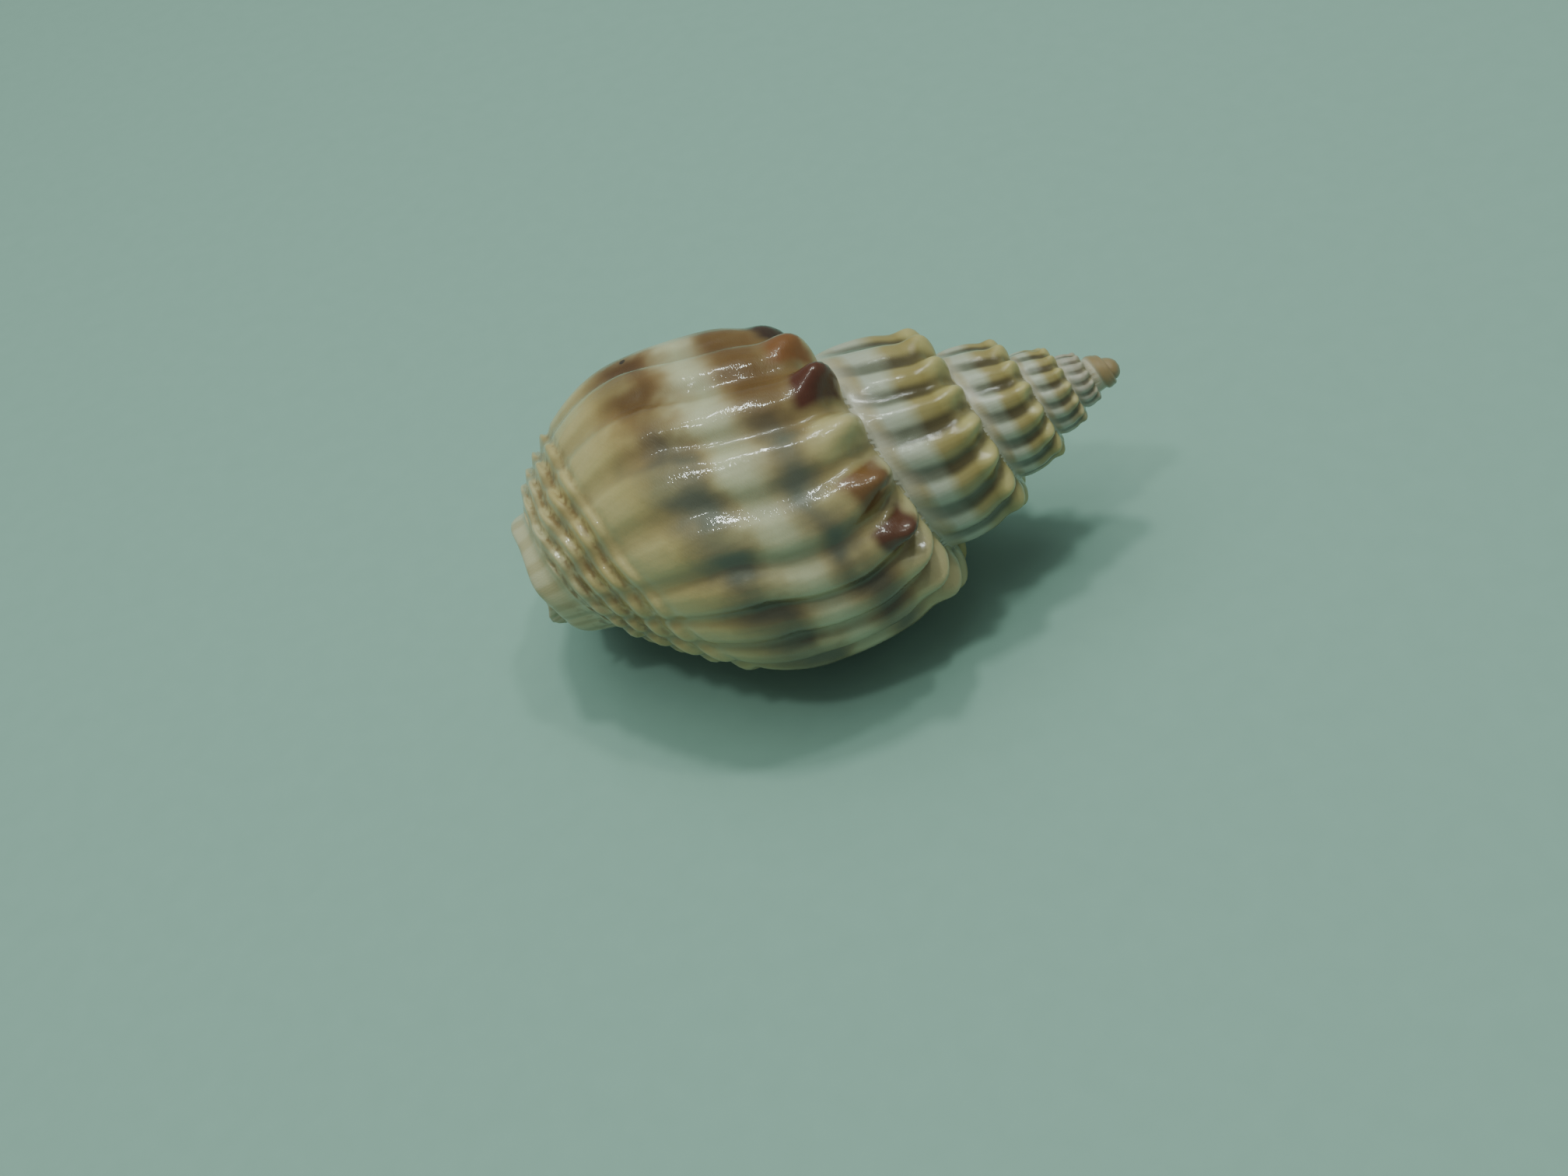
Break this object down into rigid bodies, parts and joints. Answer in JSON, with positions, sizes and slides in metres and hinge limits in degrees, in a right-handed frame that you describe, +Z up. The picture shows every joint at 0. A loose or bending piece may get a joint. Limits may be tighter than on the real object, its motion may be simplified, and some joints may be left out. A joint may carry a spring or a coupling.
{
  "type": "sea shell",
  "caption": "Coiled, ribbed sea shell with knobbed shoulders and a pointed spire, lying on its open mouth.",
  "frame": {"origin": "middle of the footprint, on the surface that the shell lies on", "axes": "+Z up, +X towards the tip of the spire, +Y towards the outer lip"},
  "size_m": [0.0256, 0.0152, 0.0134],
  "materials": {
    "shell_lime": "glossy cream-white shell lime with brown, tan and blue-grey blotches in spiral bands"
  },
  "bodies": {
    "root": {"shell": "shell_lime"}
  },
  "joints": []
}
